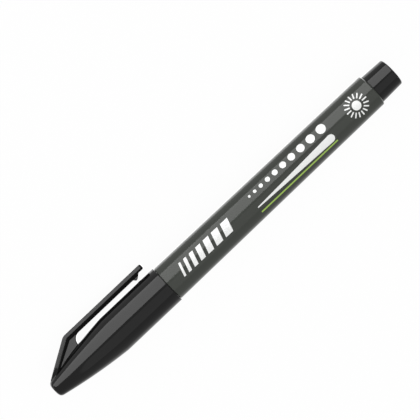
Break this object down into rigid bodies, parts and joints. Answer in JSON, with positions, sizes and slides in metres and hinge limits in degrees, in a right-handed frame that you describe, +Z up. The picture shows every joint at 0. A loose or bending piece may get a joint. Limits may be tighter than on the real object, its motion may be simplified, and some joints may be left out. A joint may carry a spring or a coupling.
{
  "type": "permanent marker",
  "caption": "Permanent marker lying on its side: drafted grey barrel, slimmer nose section with a bullet nib, black end plug and a black pull-off cap with a moulded pocket clip.",
  "frame": {"origin": "on the table, under the middle of the closed marker's bounding box", "axes": "+X from the cap's nose towards the end plug, +Z up. The marker's own axis leans down by 0.6 degrees towards the end plug, because it rests on the cap's mouth and the barrel's rear edge, and the clip points towards +Y and down"},
  "size_m": [0.1386, 0.016, 0.013],
  "materials": {
    "grey_plastic": "satin moulded polypropylene",
    "black_plastic": "polished moulded polypropylene",
    "soft_plastic": "natural milky polyethylene",
    "nib_fibre": "bonded fibre soaked with ink",
    "reservoir_fibre": "loose fibre rod soaked with ink",
    "clear_film": "thin clear film"
  },
  "bodies": {
    "pen": {"barrel": "grey_plastic", "nose_section": "grey_plastic", "nib": "nib_fibre", "ink_reservoir": "reservoir_fibre", "reservoir_film": "clear_film", "end_plug": "black_plastic"},
    "cap": {"cap": "black_plastic", "inner_cap": "soft_plastic"}
  },
  "joints": [
    {"name": "cap_pull", "type": "slide", "parent": "pen", "child": "cap", "axis": [-0.9999, 0, 0.0104], "range_m": [0, 0.05]}
  ]
}
